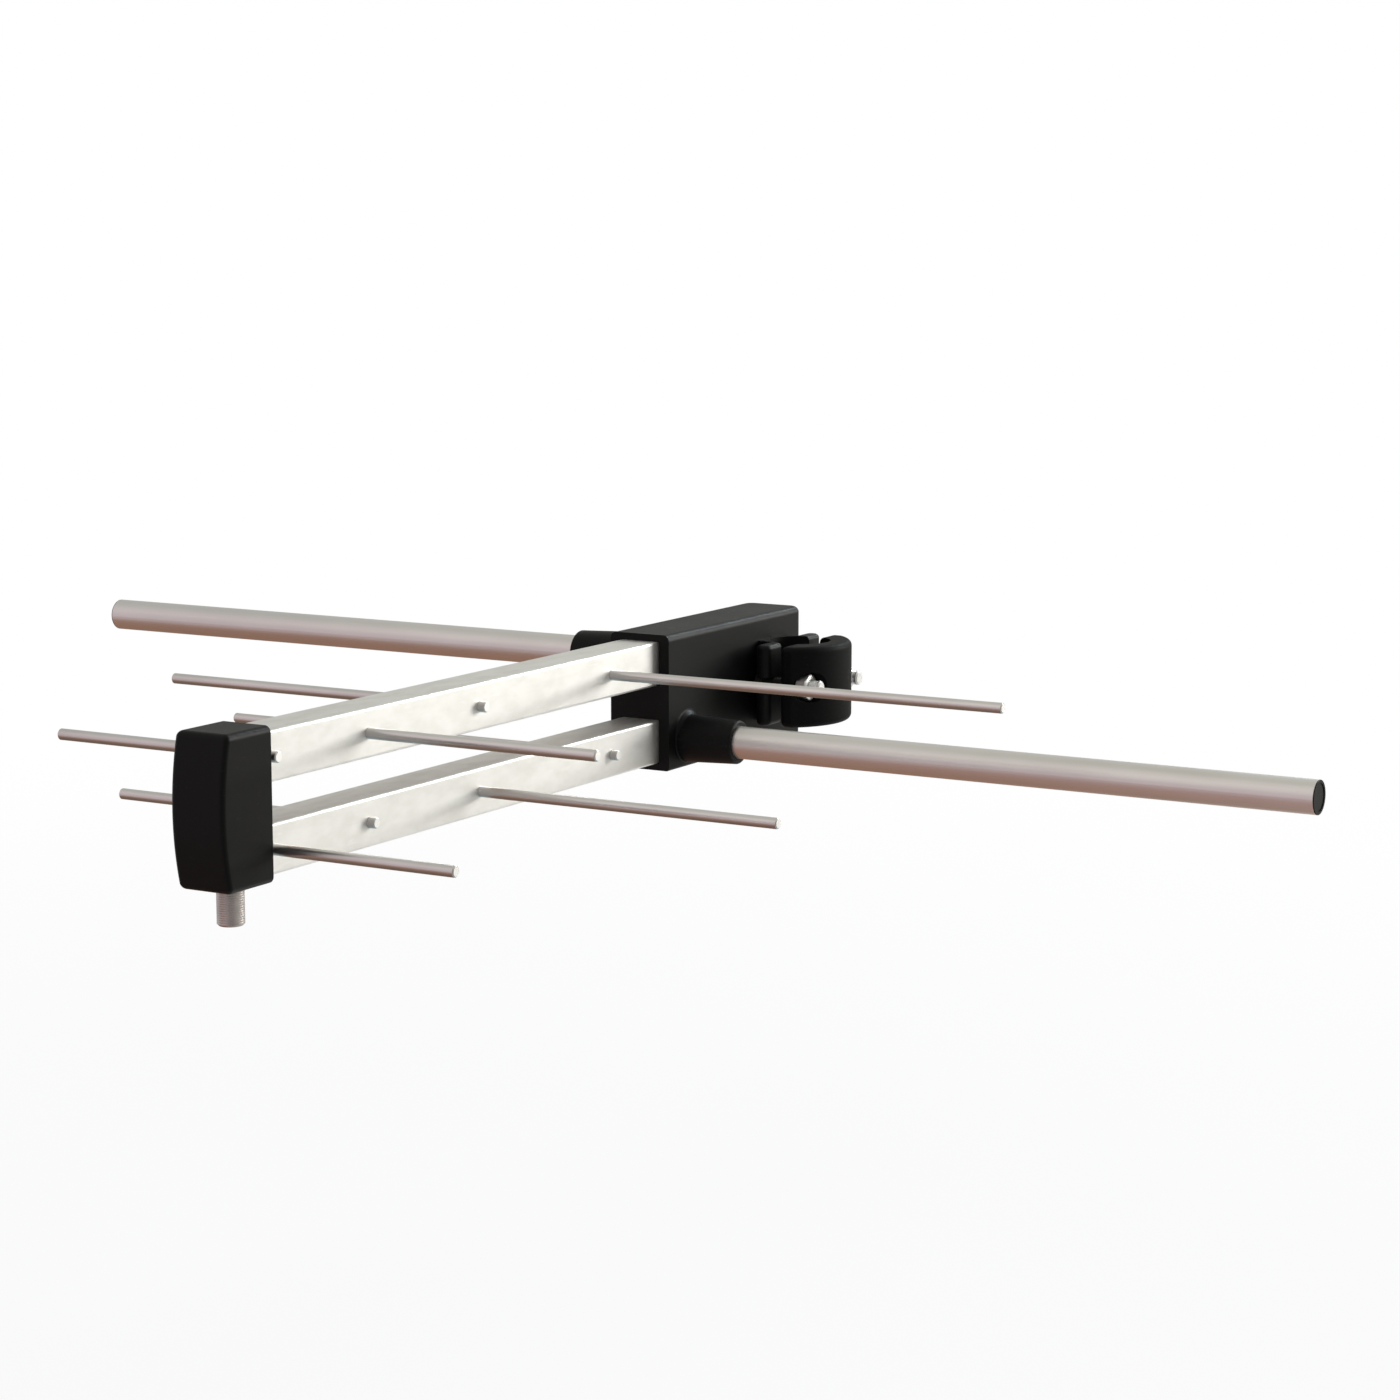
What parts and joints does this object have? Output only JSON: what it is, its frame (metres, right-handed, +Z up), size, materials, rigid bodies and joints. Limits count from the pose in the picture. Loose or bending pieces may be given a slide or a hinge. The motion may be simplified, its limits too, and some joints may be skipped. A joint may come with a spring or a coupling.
{
  "type": "outdoor tv antenna",
  "caption": "Log-periodic outdoor TV antenna: twin square booms with staggered rods and thick rear tubes, a front cap with a coax socket, and a rear housing with a bolted mast clamp.",
  "frame": {"origin": "mast axis at the mid-height of the mast clamp", "axes": "+X forward along the booms to the front cap, +Y along the right-hand elements, +Z up along the mast"},
  "size_m": [0.3918, 0.556, 0.0673],
  "materials": {
    "boom_aluminium": "bright mill",
    "rod_aluminium": "drawn",
    "tube_aluminium": "drawn",
    "black_plastic": "moulded, slight sheen",
    "white_plastic": "moulded",
    "zinc_steel": "zinc plated",
    "nickel_brass": "nickel plated",
    "contact_brass": "bare"
  },
  "bodies": {
    "antenna": {"upper_boom": "boom_aluminium", "lower_boom": "boom_aluminium", "rod_1_left": "rod_aluminium", "rod_1_right": "rod_aluminium", "rod_2_left": "rod_aluminium", "rod_2_right": "rod_aluminium", "rod_3_left": "rod_aluminium", "rod_3_right": "rod_aluminium", "rod_4_left": "rod_aluminium", "rod_4_right": "rod_aluminium", "tube_left": "tube_aluminium", "tube_right": "tube_aluminium", "rear_housing": "black_plastic", "front_cap": "black_plastic", "tube_plugs": "black_plastic", "tube_screws": "zinc_steel", "clamp_bolts": "zinc_steel", "coax_socket": "nickel_brass", "feed_pin": "contact_brass", "feed_nut": "contact_brass", "socket_insulator": "white_plastic", "feed_bush": "white_plastic"},
    "jaw": {"mast_jaw": "black_plastic", "clamp_nuts": "zinc_steel"}
  },
  "joints": [
    {"name": "jaw_slide", "type": "slide", "parent": "antenna", "child": "jaw", "axis": [0, 1, 0], "range_m": [-0.004, 0.003]}
  ]
}
